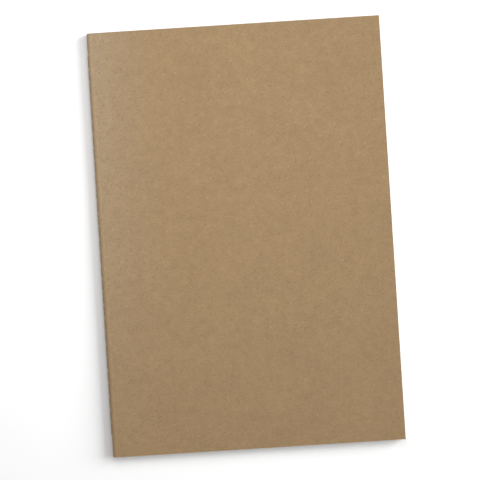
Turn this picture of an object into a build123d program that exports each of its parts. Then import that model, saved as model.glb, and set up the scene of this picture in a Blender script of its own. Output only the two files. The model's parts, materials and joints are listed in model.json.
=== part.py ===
from build123d import *
import os

# Exercise book lying closed on its back cover: folded sheets in a card cover, sewn through the fold.
# +X runs from the spine to the fore edge, +Y along the spine to the head, and +Z is up.
# The origin is under the middle of the book, on the surface that it lies on. Lengths are in millimetres.

# The closed book, from the outside of the fold to the trimmed edges
book_width = 145.0
book_height = 210.0

# Paper and card
sheet_count = 20
paper_thickness = 0.1
sheet_air = 0.005  # air between one sheet and the next
card_thickness = 0.3

# Sewing
stitch_length = 6.5
stitch_margin = 10.75  # least bare fold past the end holes, at head and tail
outer_thread_diameter = 0.3
inner_thread_diameter = 0.18
inner_thread_tail = 3.0  # cut end past each end hole
thread_clearance = 0.02  # between the outer thread and what it lies on
hole_clearance = 0.03  # round the two strands in a stitch hole
gutter_clearance = 0.03  # between the inner thread and the innermost sheet
fold_margin = 0.35  # paper between a stitch hole and the flat leaf
loop_rounding = 0.9  # corner radius of the loop round the inner thread, as a share of its half width

# The sewing line is the axis that every fold curves round
outer_thread_radius = outer_thread_diameter / 2
inner_thread_radius = inner_thread_diameter / 2
gutter_radius = inner_thread_radius + gutter_clearance
sheet_pitch = paper_thickness + sheet_air
block_radius = gutter_radius + sheet_count * sheet_pitch
cover_radius = block_radius + card_thickness

# Half width of a thread loop, and the hole that its two strands share
loop_radius = inner_thread_radius + thread_clearance + outer_thread_radius
hole_radius = loop_radius + outer_thread_radius + hole_clearance

# Places along X and Z
thread_stand = outer_thread_diameter + thread_clearance
spine_x = thread_stand - (book_width + thread_stand) / 2
fore_edge_x = spine_x + book_width
sewing_x = spine_x + cover_radius
sewing_z = cover_radius
flat_start_x = sewing_x + hole_radius + fold_margin

# Stitch holes along Y, as many as fit between the margins
stitch_count = int((book_height - 2 * stitch_margin) / stitch_length)
first_hole_y = -stitch_count * stitch_length / 2
hole_places_y = [first_hole_y + i * stitch_length for i in range(stitch_count + 1)]


def sheet_radius(number):
    """Inner radius of a sheet's fold, where sheet 1 is the outermost."""
    return gutter_radius + (sheet_count - number) * sheet_pitch


def flat_panel(inner_radius, thickness, side):
    """Flat half of a folded sheet: above the sewing line for side 1, below it for side -1."""
    middle_x = (flat_start_x + fore_edge_x) / 2
    middle_z = sewing_z + side * (inner_radius + thickness / 2)
    return Pos(middle_x, 0, middle_z) * Box(fore_edge_x - flat_start_x, book_height, thickness)


def stitch_holes():
    """Round holes through the fold, one for each place where the thread goes in."""
    outside_x = spine_x - thread_stand
    inside_x = sewing_x + hole_radius
    hole = Rot(0, 90, 0) * Cylinder(hole_radius, inside_x - outside_x)
    return [Pos((outside_x + inside_x) / 2, y, sewing_z) * hole for y in hole_places_y]


def folded_middle(inner_radius, thickness):
    """Folded middle of a sheet: half a ring round the sewing line, with a short flat end each side."""
    outer_radius = inner_radius + thickness
    reach = flat_start_x - sewing_x
    outline = [
        Line((reach, outer_radius), (0, outer_radius)),
        ThreePointArc((0, outer_radius), (-outer_radius, 0), (0, -outer_radius)),
        Line((0, -outer_radius), (reach, -outer_radius)),
        Line((reach, -outer_radius), (reach, -inner_radius)),
        Line((reach, -inner_radius), (0, -inner_radius)),
        ThreePointArc((0, -inner_radius), (-inner_radius, 0), (0, inner_radius)),
        Line((0, inner_radius), (reach, inner_radius)),
        Line((reach, inner_radius), (reach, outer_radius)),
    ]
    across_spine = Plane(origin=(sewing_x, 0, sewing_z), x_dir=(1, 0, 0), z_dir=(0, -1, 0))
    section = across_spine * make_face(outline)
    return extrude(section, amount=book_height / 2, both=True) - stitch_holes()


def outer_thread_route():
    """Corners of the outer thread's route, from the end tucked in at the tail to the one at the head."""
    run_x = spine_x - thread_clearance - outer_thread_radius
    loop_x = sewing_x + loop_radius
    upper_z = sewing_z + loop_radius
    lower_z = sewing_z - loop_radius
    corners = []
    for y in hole_places_y:
        corners += [(run_x, y, upper_z), (loop_x, y, upper_z), (loop_x, y, lower_z), (run_x, y, lower_z)]
    return corners[2:-2]


def outer_thread():
    """Thread along the outside of the spine, looped round the inner thread through each hole."""
    corners = outer_thread_route()
    loop_corner = loop_rounding * loop_radius
    outer_corners = [outer_thread_diameter] * 2
    inner_corners = [loop_corner] * 2
    radii = outer_corners + (inner_corners + outer_corners) * (stitch_count - 1)
    route = FilletPolyline(*corners, radius=radii)
    section = Plane(origin=route @ 0, z_dir=route % 0) * Circle(outer_thread_radius)
    print(f"outer thread: {route.length:.1f} mm long")
    return sweep(section, path=route)


def inner_thread():
    """Straight thread in the centre fold, on the sewing line."""
    length = stitch_count * stitch_length + 2 * inner_thread_tail
    print(f"inner thread: {length:.1f} mm long")
    return Pos(sewing_x, 0, sewing_z) * Rot(90, 0, 0) * Cylinder(inner_thread_radius, length)


def leaves():
    """Leaves by name, from the first leaf under the front cover to the last one on the back cover."""
    sheets = range(1, sheet_count + 1)
    front = [flat_panel(sheet_radius(n), paper_thickness, 1) for n in sheets]
    back = [flat_panel(sheet_radius(n), paper_thickness, -1) for n in reversed(sheets)]
    return {f"leaf_{n:02d}": leaf for n, leaf in enumerate(front + back, start=1)}


def pieces():
    """Every piece of the book by name."""
    folds = [folded_middle(sheet_radius(n), paper_thickness) for n in range(1, sheet_count + 1)]
    return {
        "front_cover": flat_panel(block_radius, card_thickness, 1),
        "back_cover": flat_panel(block_radius, card_thickness, -1),
        "cover_fold": folded_middle(block_radius, card_thickness),
        "sheet_folds": Compound(folds),
        "outer_thread": outer_thread(),
        "inner_thread": inner_thread(),
        **leaves(),
    }


os.makedirs("parts", exist_ok=True)
for name, shape in pieces().items():
    export_step(shape, f"parts/{name}.step")
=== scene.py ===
import json
import math

import bmesh
import bpy
import numpy as np
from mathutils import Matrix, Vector


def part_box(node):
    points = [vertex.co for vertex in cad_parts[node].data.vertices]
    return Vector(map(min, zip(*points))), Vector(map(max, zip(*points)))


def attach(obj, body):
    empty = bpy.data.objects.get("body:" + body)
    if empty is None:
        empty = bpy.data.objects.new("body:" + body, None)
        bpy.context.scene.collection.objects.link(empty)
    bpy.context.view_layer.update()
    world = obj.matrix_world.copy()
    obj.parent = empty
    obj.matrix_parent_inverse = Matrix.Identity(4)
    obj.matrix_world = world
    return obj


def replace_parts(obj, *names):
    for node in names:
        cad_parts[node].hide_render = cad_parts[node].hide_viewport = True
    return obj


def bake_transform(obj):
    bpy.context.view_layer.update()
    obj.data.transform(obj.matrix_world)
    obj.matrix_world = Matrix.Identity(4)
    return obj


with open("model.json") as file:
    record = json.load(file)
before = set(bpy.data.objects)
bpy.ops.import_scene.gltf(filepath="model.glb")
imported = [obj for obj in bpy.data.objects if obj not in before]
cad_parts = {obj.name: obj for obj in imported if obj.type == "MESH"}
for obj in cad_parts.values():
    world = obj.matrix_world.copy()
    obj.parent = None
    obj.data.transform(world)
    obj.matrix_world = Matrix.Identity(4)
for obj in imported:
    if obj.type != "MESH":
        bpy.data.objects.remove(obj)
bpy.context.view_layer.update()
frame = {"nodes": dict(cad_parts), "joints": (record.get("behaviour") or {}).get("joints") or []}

# Exercise book lying closed on its back cover: folded sheets in a card cover, sewn through the fold.
# Each leaf carries its own half of its sheet's fold.

MM = 0.001
FLAT_MAP = "RestMap"  # where each point lies on the flat paper or card, in metres
TONE = "tone"  # one shade number for each leaf

# Places and sizes that the frame gives
joints = {joint["name"]: joint for joint in frame["joints"]}
sewing_x, _, sewing_z = joints["spine_turn"]["pos_m"]
cover_low, cover_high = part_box("front_cover")
spine_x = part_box("cover_fold")[0].x
leaf_names = sorted(name for name in frame["nodes"] if name.startswith("leaf_"))
sheet_count = len(leaf_names) // 2
card_thickness = cover_high.z - cover_low.z
flat_start_x = cover_low.x
fore_edge_x = cover_high.x
tail_y, head_y = cover_low.y, cover_high.y

# Sewing, as in the part's source
STITCH_LENGTH = 6.5 * MM
STITCH_COUNT = 29
OUTER_THREAD = 0.3 * MM
INNER_THREAD = 0.18 * MM
THREAD_CLEARANCE = 0.02 * MM
INNER_TAIL = 3.0 * MM
RUN_START = 1.2 * MM  # from a hole to where the thread lies straight on the spine
TWIST_PITCH = 1.3 * MM

# Card at the fold
SEAM_SHIFT = 0.4 * MM  # the card bends this far past the fold's own end, to stay clear of the thread
CARD_SEAM = 0.012 * MM  # between the card's bend and its panels
END_INSET = 0.06 * MM  # trim at mid-spine, so that the fold's ends don't coincide as it bends
COVER_CREASE = 1.0 * MM  # width of card that bends when the cover opens
DIMPLE_DEPTH, DIMPLE_SIZE = 0.17 * MM, 1.0 * MM  # how the thread draws the card in at a stitch hole
PIT_DEPTH, PIT_SIZE = 0.1 * MM, 0.36 * MM

# Leaves
BENT_REACH = 6.0 * MM  # from the sewing line to where every leaf stays straight when the book opens
EVEN_STACK_REACH = 30.0 * MM  # from the sewing line to where the leaves lie evenly spaced
TRIM_SPREAD = 0.12 * MM  # how unevenly the paper is trimmed
TONE_LOW, TONE_HIGH = 0.93, 1.0
TRIM_SEED = 7

# Ruling of the pages
RULING_PITCH = 8.0 * MM
RULING_WIDTH = 0.2 * MM
RULING_FADE = 0.9 * RULING_WIDTH  # from the middle of a line to where its soft edge ends
RULING_STRENGTH = 0.75
RULING_MARGIN = 22.0 * MM  # bare paper at the head, and half of that at the tail
RULING_REACH = 141.5 * MM  # from the fold to the end of a line
RULING_ORIGIN = 0.5  # the lines are counted from this far below the middle of the page

# How finely the meshes are divided
CREASE_COLUMNS, PANEL_COLUMNS, PANEL_ROWS = 29, 18, 25
CREASE_SPAN = 1.5 * COVER_CREASE  # the part of a panel with the fine columns
CARD_FOLD_STEPS, CARD_END_COLUMNS = 21, 4
PAPER_FOLD_STEPS, LEAF_ROWS = 17, 9
BENT_COLUMNS, SPREAD_COLUMNS, STRAIGHT_COLUMNS = 25, 17, 12
ROWS_BESIDE_HOLE = np.array([0.1, 0.25, 0.42, 0.65, 1.0, 1.5, 2.2]) * MM
OUTER_ROUTE_STEPS, INNER_ROUTE_STEPS, INNER_ROUTE_POINTS = 9, 12, 60
STRANDS, STRAND_FACETS = 3, 6
SHARP_ANGLE = math.radians(40)  # edges that turn more than this stay sharp

# Colours, in linear light
KRAFT = (0.393, 0.262, 0.136)
# painted sheen: the kraft made paler near the spine and the head
KRAFT_SHEEN = (0.436, 0.318, 0.198)
KRAFT_FIBRE = (0.270, 0.165, 0.076)
PAPER = (0.81, 0.785, 0.705)
RULING = (0.50, 0.56, 0.66)
THREAD = (0.60, 0.50, 0.36)

# Painted sheen and painted light on the card, from the middle of the spine along the flat card
SHEEN_START, SHEEN_END = 6.0 * MM, 44.0 * MM  # painted sheen that pales the card, most near the spine and the head
SHEEN_TAIL = 0.1  # share of that at the tail
SHOULDER_LIGHT_START, SHOULDER_LIGHT_FULL = 0.6 * MM, 2.1 * MM  # painted light on the spine's shoulder, against the shade of its round fold
SHOULDER_LIGHT_FADE, SHOULDER_LIGHT_END = 2.6 * MM, 3.9 * MM
PAINTED_SHOULDER_LIGHT = 0.52

# Surface patterns, with scales in features per metre
FIBRE_STRETCH, FIBRE_EDGE = 5.0, 0.12  # length over width, and softness of the edge
SPECK_SCALE, SPECK_SIZE, SPECK_CORE = 190, 0.075, 0.4  # size is a share of a cell, core of the size
DARK_FIBRE_SHARE, DARK_SPECK_SHARE = 0.7, 0.75
PALE_FIBRE_LIGHT, PALE_SPECK_LIGHT = 0.12, 0.3
PALE_FIBRE_HEIGHT = 0.5  # of the grain's own relief
NOISE_LOW, NOISE_HIGH = 0.2, 0.8  # nearly all of a noise lies between these

# The photograph's view
CAMERA_TURN = math.radians(-3.63)
CAMERA_LENS, CAMERA_SENSOR = 135.0, 36.0
VIEW_WIDTH = 237.2 * MM  # seen at the height of the cover
BOOK_RIGHT, BOOK_UP = 2.95 * MM, 1.78 * MM  # middle of the book from the middle of the picture

# Light and floor
WHITE = (1, 1, 1, 1)
WORLD_LIGHT = 0.27
WINDOW_PLACE, WINDOW_SIZE, WINDOW_POWER = (2.1, 0.47, 1.1), 1.6, 57.0
OVERHEAD_PLACE, OVERHEAD_SIZE, OVERHEAD_POWER = (-0.03, 0.10, 0.22), 0.25, 0.23
FLOOR_LIGHT, FLOOR_SEEN = 0.65, 1.3
FLOOR_REACH, FLOOR_DROP = 5.0, 0.05 * MM
FADE_START, FADE_END = 0.28, 0.9  # from the book's middle to where the floor is seen as plain white


def smooth(share):
    """Smooth step from 0 to 1."""
    share = np.clip(share, 0, 1)
    return share * share * (3 - 2 * share)


# Strips of paper and card


def add_object(name, mesh, material):
    """A new piece with its material in its material slot."""
    piece = bpy.data.objects.new(name, mesh)
    bpy.context.scene.collection.objects.link(piece)
    mesh.materials.append(material)
    return piece


def finished_mesh(name, points, faces):
    """A mesh with its faces turned outwards, smooth apart from its edges."""
    mesh = bpy.data.meshes.new(name)
    mesh.from_pydata(points, [], faces)
    work = bmesh.new()
    work.from_mesh(mesh)
    bmesh.ops.recalc_face_normals(work, faces=work.faces)
    work.to_mesh(mesh)
    work.free()
    mesh.polygons.foreach_set("use_smooth", [True] * len(mesh.polygons))
    mesh.set_sharp_from_angle(angle=SHARP_ANGLE)
    return mesh


def strip_faces(columns, rows):
    """Faces of a closed strip whose vertices run over its columns, then its rows, then its two skins."""
    def quad(*corners):
        return tuple((skin * rows + row) * columns + column for skin, row, column in corners)

    faces = []
    for i in range(rows - 1):
        for k in range(columns - 1):
            for skin in (0, 1):
                faces.append(quad((skin, i, k), (skin, i, k + 1), (skin, i + 1, k + 1), (skin, i + 1, k)))
        for k in (0, columns - 1):
            faces.append(quad((0, i, k), (0, i + 1, k), (1, i + 1, k), (1, i, k)))
    for k in range(columns - 1):
        for i in (0, rows - 1):
            faces.append(quad((0, i, k), (0, i, k + 1), (1, i, k + 1), (1, i, k)))
    return faces


def add_flat_map(mesh, across, up):
    """Write each vertex's place on the flat strip, the same for both skins, as the mesh's UV map."""
    places = np.tile(np.stack([across, up], axis=-1).reshape(-1, 2), (2, 1))
    corners = np.zeros(len(mesh.loops), np.int32)
    mesh.loops.foreach_get("vertex_index", corners)
    flat_map = mesh.uv_layers.new(name=FLAT_MAP)
    flat_map.data.foreach_set("uv", places[corners].astype(np.float32).ravel())


def strip(name, line, thickness, rows, drawn_in=None, inset=0.0):
    """A strip of paper or card: a line in X and Z with its normals, swept over the rows in Y."""
    across, up = np.meshgrid(line["along"], rows)
    up[0] += inset
    up[-1] -= inset
    level = np.zeros_like(across)
    depth = drawn_in(across, up) if drawn_in else level
    skins = []
    for reach in (thickness / 2 - depth, level - thickness / 2):
        x = line["x"] + line["normal_x"] * reach
        z = line["z"] + line["normal_z"] * reach
        skins.append(np.stack([x, up, z], axis=-1).reshape(-1, 3))
    points = np.concatenate(skins)
    mesh = finished_mesh(name, points.tolist(), strip_faces(len(line["x"]), len(rows)))
    add_flat_map(mesh, across, up)
    return mesh


def quarter_fold(radius, side, steps):
    """Half of a round fold, from mid-spine to the flat: above the sewing line for side 1, below it for -1."""
    angle = np.linspace(0, math.pi / 2, steps)
    out, up = np.cos(angle), side * np.sin(angle)
    return {
        "x": sewing_x - radius * out, "z": sewing_z + radius * up,
        "normal_x": -out, "normal_z": up, "along": side * radius * angle,
    }


def flat_run(x, z, side, along_start):
    """Flat run of paper or card that starts at the given place on its flat map."""
    return {
        "x": x, "z": z, "normal_x": np.zeros_like(x), "normal_z": np.full_like(x, side),
        "along": along_start + side * (x - x[0]),
    }


def joined(first, second):
    """Two lines end to end, where the second starts at the first one's last point."""
    return {key: np.concatenate([first[key], second[key][1:]]) for key in first}


def spaced(*stretches):
    """Places from one end to the other, in stretches of (start, end, count) that share their ends."""
    parts = [np.linspace(*stretch) for stretch in stretches]
    return np.concatenate([parts[0]] + [part[1:] for part in parts[1:]])


# Node helpers


def node(tree, kind, inputs=None, **settings):
    """A shader node with its settings, and with its inputs set or linked."""
    made = tree.nodes.new(kind)
    for key, value in settings.items():
        setattr(made, key, value)
    for key, value in (inputs or {}).items():
        if isinstance(value, bpy.types.NodeSocket):
            tree.links.new(value, made.inputs[key])
        else:
            made.inputs[key].default_value = value
    return made


def math_node(tree, operation, first, second=0.0):
    """Result of a math node."""
    made = node(tree, "ShaderNodeMath", {0: first, 1: second}, operation=operation)
    return made.outputs[0]


def summed(tree, first, *others):
    """Sum of several values."""
    for other in others:
        first = math_node(tree, "ADD", first, other)
    return first


def multiplied(tree, first, *others):
    """Product of several values."""
    for other in others:
        first = math_node(tree, "MULTIPLY", first, other)
    return first


def remapped(tree, value, low, high, to_low, to_high):
    """A value moved from one range to another and kept inside it."""
    made = node(tree, "ShaderNodeMapRange", {
        "Value": value, "From Min": low, "From Max": high, "To Min": to_low, "To Max": to_high})
    return made.outputs[0]


def varied(tree, field, low, high):
    """A noise spread over the range from low to high."""
    return remapped(tree, field, NOISE_LOW, NOISE_HIGH, low, high)


def mixed(tree, share, first, second):
    """Colour mixed from two by a share."""
    made = node(tree, "ShaderNodeMix", {"Factor": share, "A": first, "B": second}, data_type="RGBA")
    return made.outputs["Result"]


def colour(rgb):
    """A colour as a shader socket takes it."""
    return (*rgb, 1.0)


def shaded(tree, base, light):
    """A colour made lighter or darker."""
    return node(tree, "ShaderNodeHueSaturation", {"Value": light, "Color": base}).outputs[0]


def flat_place(tree):
    """Place on the flat paper or card."""
    return node(tree, "ShaderNodeUVMap", uv_map=FLAT_MAP).outputs[0]


def noise(tree, place, scale, detail=2.0, roughness=0.5):
    """Noise from 0 to 1 at a scale in features per metre."""
    made = node(tree, "ShaderNodeTexNoise", {
        "Vector": place, "Scale": scale, "Detail": detail, "Roughness": roughness})
    return made.outputs[0]


def turned_place(tree, place, angle, stretch=1.0):
    """The flat map turned by an angle and squeezed across it, for fibres that lie that way."""
    made = node(tree, "ShaderNodeMapping", {
        "Vector": place, "Rotation": (0, 0, math.radians(angle)), "Scale": (1, 1 / stretch, 1)},
        vector_type="TEXTURE")
    return made.outputs[0]


def fibres(tree, place, scale, angles, threshold):
    """Short fibres lying several ways: 1 on a fibre and 0 between them."""
    total = None
    for angle in angles:
        field = noise(tree, turned_place(tree, place, angle, FIBRE_STRETCH), scale, detail=1.0)
        strands = remapped(tree, field, threshold, threshold + FIBRE_EDGE, 0, 1)
        total = strands if total is None else math_node(tree, "MAXIMUM", total, strands)
    return total


def specks(tree, place, share):
    """Sparse round specks: 1 in a speck and 0 elsewhere."""
    cells = node(tree, "ShaderNodeTexVoronoi", {"Vector": place, "Scale": SPECK_SCALE},
                 voronoi_dimensions="2D")
    near = remapped(tree, cells.outputs["Distance"], SPECK_CORE * SPECK_SIZE, SPECK_SIZE, 1, 0)
    chosen = node(tree, "ShaderNodeSeparateColor", {"Color": cells.outputs["Color"]}).outputs[0]
    return multiplied(tree, near, math_node(tree, "LESS_THAN", chosen, share))


def relief(tree, height, strength, distance):
    """Surface normal of a fine relief."""
    made = node(tree, "ShaderNodeBump", {"Height": height, "Strength": strength, "Distance": distance})
    return made.outputs[0]


def seen_rays(tree):
    """1 where a surface is seen, straight or in gloss or glass, and 0 where it only lights something."""
    rays = node(tree, "ShaderNodeLightPath").outputs
    seen = math_node(tree, "MAXIMUM", rays["Is Camera Ray"], rays["Is Glossy Ray"])
    return math_node(tree, "MAXIMUM", seen, rays["Is Transmission Ray"])


def blank_material(name):
    """A material with only its output."""
    material = bpy.data.materials.new(name)
    material.use_nodes = True
    material.node_tree.nodes.clear()
    output = material.node_tree.nodes.new("ShaderNodeOutputMaterial")
    return material, material.node_tree, output


def add_surface(tree, output, inputs):
    """The material's surface shader."""
    shader = node(tree, "ShaderNodeBsdfPrincipled", inputs)
    tree.links.new(shader.outputs[0], output.inputs["Surface"])


# Materials


def painted_sheen_share(tree, from_spine, up):
    """How much painted sheen pales the card, most near the spine and the head."""
    beside_spine = remapped(tree, from_spine, SHEEN_START, SHEEN_END, 1, 0)
    along_spine = remapped(tree, up, tail_y, head_y, SHEEN_TAIL, 1)
    return multiplied(tree, beside_spine, beside_spine, along_spine)


def shoulder_painted_light(tree, from_spine):
    """Painted light on the shoulder of the spine, that offsets the shade of its round fold."""
    rise = remapped(tree, from_spine, SHOULDER_LIGHT_START, SHOULDER_LIGHT_FULL, 0, PAINTED_SHOULDER_LIGHT)
    fall = remapped(tree, from_spine, SHOULDER_LIGHT_FADE, SHOULDER_LIGHT_END, PAINTED_SHOULDER_LIGHT, 0)
    return math_node(tree, "MINIMUM", rise, fall)


def kraft_material():
    """Brown card with mottling, short fibres and specks, with painted sheen near the spine and the head, and
    painted light on the spine's shoulder.
    """
    material, tree, output = blank_material("kraft_card")
    place = flat_place(tree)
    axes = node(tree, "ShaderNodeSeparateXYZ", {"Vector": place}).outputs
    from_spine = math_node(tree, "ABSOLUTE", axes["X"])
    cloudy = noise(tree, place, scale=45, detail=3.0, roughness=0.6)
    mottling = noise(tree, place, scale=230, detail=3.0, roughness=0.6)
    grain = noise(tree, place, scale=900, detail=3.0, roughness=0.7)
    dark_fibres = fibres(tree, place, scale=520, angles=(4, 41, 97, 158), threshold=0.62)
    pale_fibres = fibres(tree, place, scale=480, angles=(12, 71, 124, 172), threshold=0.67)
    dark_specks = specks(tree, place, share=0.55)
    pale_specks = specks(tree, turned_place(tree, place, angle=30), share=0.45)

    # painted sheen, paler near the spine and the head
    base = mixed(tree, painted_sheen_share(tree, from_spine, axes["Y"]), colour(KRAFT), colour(KRAFT_SHEEN))
    base = mixed(tree, multiplied(tree, dark_fibres, DARK_FIBRE_SHARE), base, colour(KRAFT_FIBRE))
    base = mixed(tree, multiplied(tree, dark_specks, DARK_SPECK_SHARE), base, colour(KRAFT_FIBRE))
    # painted light on the spine's shoulder is part of this sum
    light = summed(tree, varied(tree, cloudy, 0.95, 1.05), varied(tree, mottling, -0.09, 0.09),
                   varied(tree, grain, -0.08, 0.08), shoulder_painted_light(tree, from_spine),
                   multiplied(tree, pale_fibres, PALE_FIBRE_LIGHT),
                   multiplied(tree, pale_specks, PALE_SPECK_LIGHT))

    height = summed(tree, grain, multiplied(tree, pale_fibres, PALE_FIBRE_HEIGHT))
    add_surface(tree, output, {
        "Base Color": shaded(tree, base, light), "Roughness": varied(tree, grain, 0.62, 0.78),
        "Normal": relief(tree, height, strength=0.3, distance=0.03 * MM), "Specular IOR Level": 0.3})
    return material


def ruled_share(tree, from_spine, up, grain):
    """How far the ruling covers the paper, with a little of the paper's grain in it."""
    from_line = math_node(tree, "PINGPONG", summed(tree, up, RULING_ORIGIN), RULING_PITCH / 2)
    on_line = remapped(tree, from_line, RULING_WIDTH / 2, RULING_FADE, RULING_STRENGTH, 0)
    inside_top = math_node(tree, "LESS_THAN", up, head_y - RULING_MARGIN)
    inside_foot = math_node(tree, "GREATER_THAN", up, tail_y + RULING_MARGIN / 2)
    inside_edge = math_node(tree, "LESS_THAN", from_spine, RULING_REACH)
    ink = remapped(tree, grain, 0.3, 0.7, 0.7, 1.0)
    return multiplied(tree, on_line, inside_top, inside_foot, inside_edge, ink)


def paper_material():
    """Cream writing paper with faint ruling, a soft mottle and a shade of its own for each leaf."""
    material, tree, output = blank_material("paper")
    place = flat_place(tree)
    axes = node(tree, "ShaderNodeSeparateXYZ", {"Vector": place}).outputs
    from_spine = math_node(tree, "ABSOLUTE", axes["X"])
    tone = node(tree, "ShaderNodeAttribute", attribute_name=TONE).outputs["Fac"]
    cloudy = noise(tree, place, scale=160, detail=4.0, roughness=0.6)
    grain = noise(tree, place, scale=2600, detail=2.0, roughness=0.6)

    ruled = ruled_share(tree, from_spine, axes["Y"], grain)
    base = mixed(tree, ruled, colour(PAPER), colour(RULING))
    light = summed(tree, varied(tree, cloudy, 0.985, 1.015), varied(tree, grain, -0.02, 0.02))
    light = multiplied(tree, light, tone)
    add_surface(tree, output, {
        "Base Color": shaded(tree, base, light), "Roughness": varied(tree, cloudy, 0.78, 0.88),
        "Normal": relief(tree, grain, strength=0.12, distance=0.02 * MM), "Specular IOR Level": 0.25})
    return material


def thread_material():
    """Spun thread: fine uneven fibres on each twisted strand."""
    material, tree, output = blank_material("thread")
    place = node(tree, "ShaderNodeTexCoord").outputs["Object"]
    fine = noise(tree, place, scale=9000, detail=3.0, roughness=0.7)
    slow = noise(tree, place, scale=420)
    light = summed(tree, varied(tree, fine, 0.8, 1.15), varied(tree, slow, -0.05, 0.05))
    add_surface(tree, output, {
        "Base Color": shaded(tree, colour(THREAD), light), "Roughness": varied(tree, fine, 0.6, 0.8),
        "Normal": relief(tree, fine, strength=0.4, distance=0.02 * MM),
        "Specular IOR Level": 0.3, "Sheen Weight": 0.2})
    return material


kraft, paper, thread = kraft_material(), paper_material(), thread_material()


# Card cover

stitch_holes = (np.arange(STITCH_COUNT + 1) - STITCH_COUNT / 2) * STITCH_LENGTH  # along Y
card_radius = sewing_z - card_thickness / 2
fold_length = card_radius * math.pi / 2
seam_x = flat_start_x + SEAM_SHIFT


def fold_rows():
    """Places along Y that follow the card's shape round every stitch hole."""
    beside = np.concatenate([-ROWS_BESIDE_HOLE, ROWS_BESIDE_HOLE])
    return np.sort(np.concatenate([[tail_y, head_y], (stitch_holes[:, None] + beside).ravel()]))


def drawn_in_card(across, up):
    """Depth to which the thread draws the card in, at a place on the card's flat map."""
    away = np.abs(up[..., None] - stitch_holes).min(axis=-1)
    distance = np.hypot(away, across)
    dimple = DIMPLE_DEPTH * np.exp(-(distance / DIMPLE_SIZE) ** 2)
    pit = PIT_DEPTH * np.exp(-(distance / PIT_SIZE) ** 4)
    return dimple + pit


def card_panel(name, side):
    """Flat half of the cover, from the end of the fold to the fore edge."""
    fine_end_x = seam_x + CREASE_SPAN
    x = spaced((seam_x, fine_end_x, CREASE_COLUMNS), (fine_end_x, fore_edge_x, PANEL_COLUMNS))
    start = side * (fold_length + seam_x - sewing_x)
    line = flat_run(x, np.full_like(x, sewing_z + side * card_radius), side, start)
    rows = np.linspace(tail_y, head_y, PANEL_ROWS)
    return add_object(name, strip(name, line, card_thickness, rows), kraft)


def card_fold(name, side):
    """Half of the cover's fold, from the middle of the spine to one panel."""
    curved = quarter_fold(card_radius, side, CARD_FOLD_STEPS)
    x = np.linspace(sewing_x, seam_x - CARD_SEAM, CARD_END_COLUMNS)
    flat = flat_run(x, np.full_like(x, sewing_z + side * card_radius), side, side * fold_length)
    line = joined(curved, flat)
    inset = END_INSET * (1 - np.abs(line["along"] / line["along"][-1]))
    mesh = strip(name, line, card_thickness, fold_rows(), drawn_in_card, inset)
    piece = add_object(name, mesh, kraft)
    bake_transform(piece)
    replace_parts(piece, "cover_fold")


front_card = card_panel("card_front", 1)
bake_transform(front_card)
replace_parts(front_card, "front_cover")
back_card = card_panel("card_back", -1)
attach(back_card, "back_cover")
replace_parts(back_card, "back_cover")
card_fold("card_fold_front", 1)
card_fold("card_fold_back", -1)


# Paper leaves

first_low, first_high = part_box(leaf_names[0])
last_low, last_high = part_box(leaf_names[-1])
paper_thickness = first_high.z - first_low.z
first_z, last_z = (first_low.z + first_high.z) / 2, (last_low.z + last_high.z) / 2
trim = np.random.default_rng(TRIM_SEED)
sheet_trim = trim.uniform(0, TRIM_SPREAD, (sheet_count, 2))  # at the tail and head of each sheet


def leaf_line(number, radius, side, trimmed):
    """Line of one leaf with its half of the fold, evenly spaced from its neighbours away from the fold."""
    bent_x, even_x = sewing_x + BENT_REACH, sewing_x + EVEN_STACK_REACH
    x = spaced((sewing_x, bent_x, BENT_COLUMNS), (bent_x, even_x, SPREAD_COLUMNS),
               (even_x, fore_edge_x - trimmed, STRAIGHT_COLUMNS))
    even_z = first_z + (last_z - first_z) * (number - 1) / (len(leaf_names) - 1)
    fold_z = sewing_z + side * radius
    z = fold_z + (even_z - fold_z) * smooth((x - sewing_x) / EVEN_STACK_REACH)
    curved = quarter_fold(radius, side, PAPER_FOLD_STEPS)
    return joined(curved, flat_run(x, z, side, curved["along"][-1]))


def paper_leaf(number):
    """One leaf of paper with its half of the sheet's fold."""
    side = 1 if number <= sheet_count else -1
    sheet = number if side > 0 else len(leaf_names) + 1 - number
    own, partner = leaf_names[number - 1], leaf_names[len(leaf_names) - number]
    low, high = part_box(own)
    radius = abs((low.z + high.z) / 2 - sewing_z)
    tail_trim, head_trim = sheet_trim[sheet - 1]
    rows = np.linspace(tail_y + tail_trim, head_y - head_trim, LEAF_ROWS)
    name = f"paper_{own}"
    line = leaf_line(number, radius, side, trim.uniform(0, TRIM_SPREAD))
    mesh = strip(name, line, paper_thickness, rows)
    tone = np.full(len(mesh.vertices), trim.uniform(TONE_LOW, TONE_HIGH), np.float32)
    mesh.attributes.new(TONE, "FLOAT", "POINT").data.foreach_set("value", tone)
    piece = add_object(name, mesh, paper)
    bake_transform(piece)
    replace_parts(piece, own, "sheet_folds")


for leaf_number in range(1, len(leaf_names) + 1):
    paper_leaf(leaf_number)


# Sewing thread


def spline_points(name, corners, steps):
    """Points along a smooth spline that has the given control points."""
    curve = bpy.data.curves.new(name, "CURVE")
    curve.dimensions = "3D"
    spline = curve.splines.new("NURBS")
    spline.points.add(len(corners) - 1)
    for point, corner in zip(spline.points, corners):
        point.co = (*corner, 1)
    spline.order_u = 3
    spline.use_endpoint_u = True
    spline.resolution_u = steps
    holder = bpy.data.objects.new(name, curve)
    mesh = bpy.data.meshes.new_from_object(holder)
    points = np.array([vertex.co for vertex in mesh.vertices])
    bpy.data.objects.remove(holder)
    bpy.data.curves.remove(curve)
    bpy.data.meshes.remove(mesh)
    return points


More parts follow.
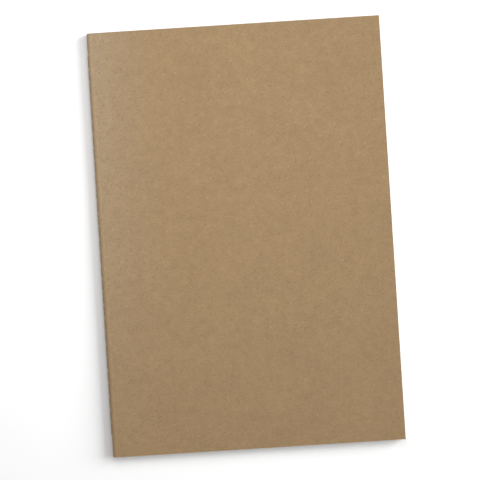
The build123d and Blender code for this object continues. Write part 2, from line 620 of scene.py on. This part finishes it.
def carried_frames(points):
    """Two directions across a line at each of its points, carried along it without twist."""
    ahead = np.gradient(points, axis=0)
    ahead /= np.linalg.norm(ahead, axis=1)[:, None]
    side = np.cross(ahead[0], (0.3, 0.5, 0.8))  # any direction that isn't the line's own
    sides = []
    for direction in ahead:
        side = side - direction * (side @ direction)
        side = side / np.linalg.norm(side)
        sides.append(side)
    sides = np.array(sides)
    return sides, np.cross(ahead, sides)


def tube(points, radius):
    """Vertices and faces of a closed tube round a line."""
    first, second = carried_frames(points)
    angle = np.arange(STRAND_FACETS)[None, :, None] * 2 * math.pi / STRAND_FACETS
    ring = first[:, None] * np.cos(angle) + second[:, None] * np.sin(angle)
    vertices = (points[:, None] + radius * ring).reshape(-1, 3)
    around = range(STRAND_FACETS)
    last = (len(points) - 1) * STRAND_FACETS
    faces = []
    for start in range(0, last, STRAND_FACETS):
        ahead = start + STRAND_FACETS
        for k in around:
            j = (k + 1) % STRAND_FACETS
            faces.append((start + k, start + j, ahead + j, ahead + k))
    faces.append(tuple(around))
    faces.append(tuple(last + k for k in around))
    return vertices, faces


def twisted_thread(name, points, diameter):
    """A thread of strands twisted round the given line."""
    strand_radius = diameter / 2 / (1 + 1 / math.sin(math.pi / STRANDS))
    lay_radius = diameter / 2 - strand_radius
    first, second = carried_frames(points)
    steps = np.linalg.norm(np.diff(points, axis=0), axis=1)
    turn = np.concatenate([[0], np.cumsum(steps)]) * 2 * math.pi / TWIST_PITCH
    vertices, faces = [], []
    for strand in range(STRANDS):
        angle = (turn + strand * 2 * math.pi / STRANDS)[:, None]
        line = points + lay_radius * (first * np.cos(angle) + second * np.sin(angle))
        strand_points, strand_faces = tube(line, strand_radius)
        start = sum(len(part) for part in vertices)
        vertices.append(strand_points)
        faces += [tuple(start + k for k in face) for face in strand_faces]
    mesh = finished_mesh(name, np.concatenate(vertices).tolist(), faces)
    piece = add_object(name, mesh, thread)
    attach(piece, "sewn_spine")
    return piece


def stitch_corners():
    """Control points of the outer thread, from the end tucked in at the tail to the one at the head."""
    loop = INNER_THREAD / 2 + THREAD_CLEARANCE + OUTER_THREAD / 2
    run_x = spine_x - THREAD_CLEARANCE - OUTER_THREAD / 2
    loop_x = sewing_x + loop
    upper, lower = sewing_z + loop, sewing_z - loop
    near = RUN_START / STITCH_LENGTH
    corners = []
    for y in stitch_holes:
        corners += [(run_x, y, upper), (loop_x, y, upper), (loop_x, y, lower), (run_x, y, lower)]
        for share in (near, 1 - near):
            corners.append((run_x, y + share * STITCH_LENGTH, lower + share * (upper - lower)))
    return corners[2:-4]


def inner_corners():
    """Control points of the inner thread, straight along the sewing line."""
    reach = STITCH_COUNT * STITCH_LENGTH / 2 + INNER_TAIL
    return [(sewing_x, y, sewing_z) for y in np.linspace(-reach, reach, INNER_ROUTE_POINTS)]


outer_line = spline_points("outer_route", stitch_corners(), OUTER_ROUTE_STEPS)
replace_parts(twisted_thread("sewing_thread", outer_line, OUTER_THREAD), "outer_thread")
inner_line = spline_points("inner_route", inner_corners(), INNER_ROUTE_STEPS)
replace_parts(twisted_thread("centre_thread", inner_line, INNER_THREAD), "inner_thread")


# Floor, light and camera


def floor_material():
    """Pale floor that is seen as white paper with the book's shadow on it, fading to plain white."""
    material, tree, output = blank_material("floor")
    seen = seen_rays(tree)
    shade = mixed(tree, seen, colour((FLOOR_LIGHT,) * 3), colour((FLOOR_SEEN,) * 3))
    near = node(tree, "ShaderNodeBsdfDiffuse", {"Color": shade})
    place = node(tree, "ShaderNodeTexCoord").outputs["Object"]
    distance = node(tree, "ShaderNodeVectorMath", {0: place}, operation="LENGTH").outputs["Value"]
    away = multiplied(tree, remapped(tree, distance, FADE_START, FADE_END, 0, 1), seen)
    far = node(tree, "ShaderNodeEmission", {"Color": WHITE, "Strength": 1.0})
    shader = node(tree, "ShaderNodeMixShader", {0: away, 1: near.outputs[0], 2: far.outputs[0]})
    tree.links.new(shader.outputs[0], output.inputs["Surface"])
    return material


def add_floor():
    """A wide floor just under the book."""
    mesh = bpy.data.meshes.new("floor")
    corners = [(-1, -1), (1, -1), (1, 1), (-1, 1)]
    points = [(x * FLOOR_REACH, y * FLOOR_REACH, -FLOOR_DROP) for x, y in corners]
    mesh.from_pydata(points, [], [(0, 1, 2, 3)])
    mesh.materials.append(floor_material())
    floor = bpy.data.objects.new("floor", mesh)
    bpy.context.scene.collection.objects.link(floor)


def set_world():
    """Even white surroundings, seen as white and lighting the book softly."""
    world = bpy.data.worlds.new("studio")
    bpy.context.scene.world = world
    world.use_nodes = True
    tree = world.node_tree
    tree.nodes.clear()
    strength = remapped(tree, seen_rays(tree), 0, 1, WORLD_LIGHT, 1)
    sky = node(tree, "ShaderNodeBackground", {"Color": WHITE, "Strength": strength})
    output = tree.nodes.new("ShaderNodeOutputWorld")
    tree.links.new(sky.outputs[0], output.inputs["Surface"])


def add_softbox(name, place, aim, size, power):
    """A square soft light that faces the given point and isn't seen itself."""
    lamp = bpy.data.lights.new(name, "AREA")
    lamp.size = size
    lamp.energy = power
    holder = bpy.data.objects.new(name, lamp)
    holder.location = place
    holder.rotation_euler = (Vector(aim) - Vector(place)).to_track_quat("-Z", "Y").to_euler()
    holder.visible_camera = False
    bpy.context.scene.collection.objects.link(holder)


def add_camera():
    """Camera straight above the book, as far as the lens needs for the photograph's frame."""
    data = bpy.data.cameras.new("camera")
    data.lens = CAMERA_LENS
    data.sensor_width = CAMERA_SENSOR
    camera = bpy.data.objects.new("camera", data)
    right = Vector((math.cos(CAMERA_TURN), math.sin(CAMERA_TURN), 0))
    up = Vector((-math.sin(CAMERA_TURN), math.cos(CAMERA_TURN), 0))
    height = cover_high.z + VIEW_WIDTH * CAMERA_LENS / CAMERA_SENSOR
    middle = Vector(((spine_x + fore_edge_x) / 2, 0, height))
    camera.location = middle - BOOK_RIGHT * right - BOOK_UP * up
    camera.rotation_euler = (0, 0, CAMERA_TURN)
    bpy.context.scene.collection.objects.link(camera)
    bpy.context.scene.camera = camera


add_floor()
set_world()
add_softbox("window", WINDOW_PLACE, (0, 0, 0), WINDOW_SIZE, WINDOW_POWER)
add_softbox("overhead", OVERHEAD_PLACE, (*OVERHEAD_PLACE[:2], 0), OVERHEAD_SIZE, OVERHEAD_POWER)
add_camera()
bpy.context.scene.view_settings.view_transform = "Standard"
